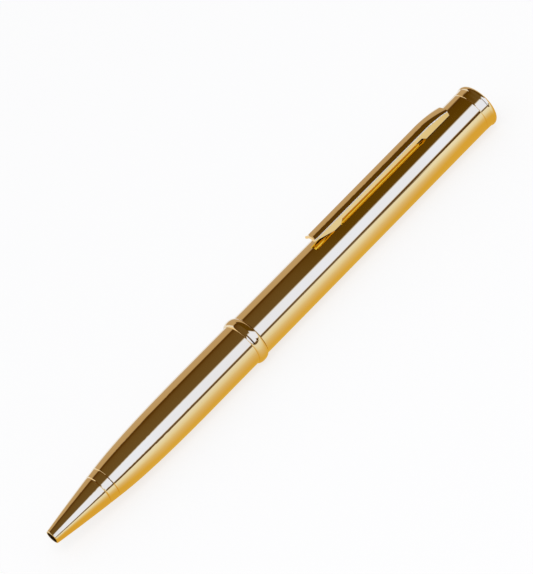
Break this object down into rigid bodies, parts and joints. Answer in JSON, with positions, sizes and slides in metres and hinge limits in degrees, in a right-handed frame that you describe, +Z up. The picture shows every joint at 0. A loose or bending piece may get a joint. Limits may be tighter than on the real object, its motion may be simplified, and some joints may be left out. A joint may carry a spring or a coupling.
{
  "type": "twist ballpoint pen with concealed blade",
  "caption": "Polished gold twist ballpoint pen with a sprung pocket clip; its front half draws out of the rear barrel and carries a serrated letter-opener blade.",
  "frame": {"origin": "under the middle of the closed pen, on the surface it lies on", "axes": "+X from the nose to the cap along the pen, +Z up, with the clip uppermost"},
  "size_m": [0.1378, 0.0114, 0.0132],
  "materials": {
    "gold": "mirror-polished gold plate",
    "pale_gold": "polished pale gold plate",
    "blade_steel": "satin ground steel",
    "nickel": "drawn nickel silver",
    "carbide": "ground ball",
    "ink": "clear pale ink",
    "drive_plastic": "moulded black acetal",
    "pin_steel": "turned steel",
    "plain_brass": "turned brass, unplated"
  },
  "bodies": {
    "rear_section": {"rear_barrel": "gold", "clip_bush": "drive_plastic", "top_cap": "gold"},
    "clip_body": {"clip": "gold"},
    "blade_section": {"collar": "pale_gold", "cam_sleeve": "drive_plastic", "blade_holder": "drive_plastic", "blade": "blade_steel", "tang_pins": "pin_steel"},
    "front_section": {"front_barrel": "gold", "nose_cone": "gold", "centre_ring": "gold", "guide_tube": "plain_brass", "retaining_washer": "plain_brass"},
    "refill_section": {"refill_tube": "nickel", "ink_column": "ink", "writing_point": "nickel", "writing_ball": "carbide", "refill_carrier": "drive_plastic", "cam_pins": "pin_steel"}
  },
  "joints": [
    {"name": "clip_flex", "type": "hinge", "parent": "rear_section", "child": "clip_body", "pos_m": [0.0596, 0, 0.01105], "axis": [0, 1, 0], "range_deg": [0, 3], "stiffness_Nm_per_rad": 0.5},
    {"name": "pull_out", "type": "slide", "parent": "rear_section", "child": "blade_section", "axis": [-1, 0, 0], "range_m": [0, 0.08]},
    {"name": "twist", "type": "hinge", "parent": "blade_section", "child": "front_section", "pos_m": [0, 0, 0.00575], "axis": [1, 0, 0], "range_deg": [0, 180]},
    {"name": "refill_slide", "type": "slide", "parent": "front_section", "child": "refill_section", "axis": [-1, 0, 0], "range_m": [0, 0.0054]}
  ],
  "couplings": [
    {"joint": "refill_slide", "follows": "twist", "m_per_rad": 0.0017188}
  ]
}
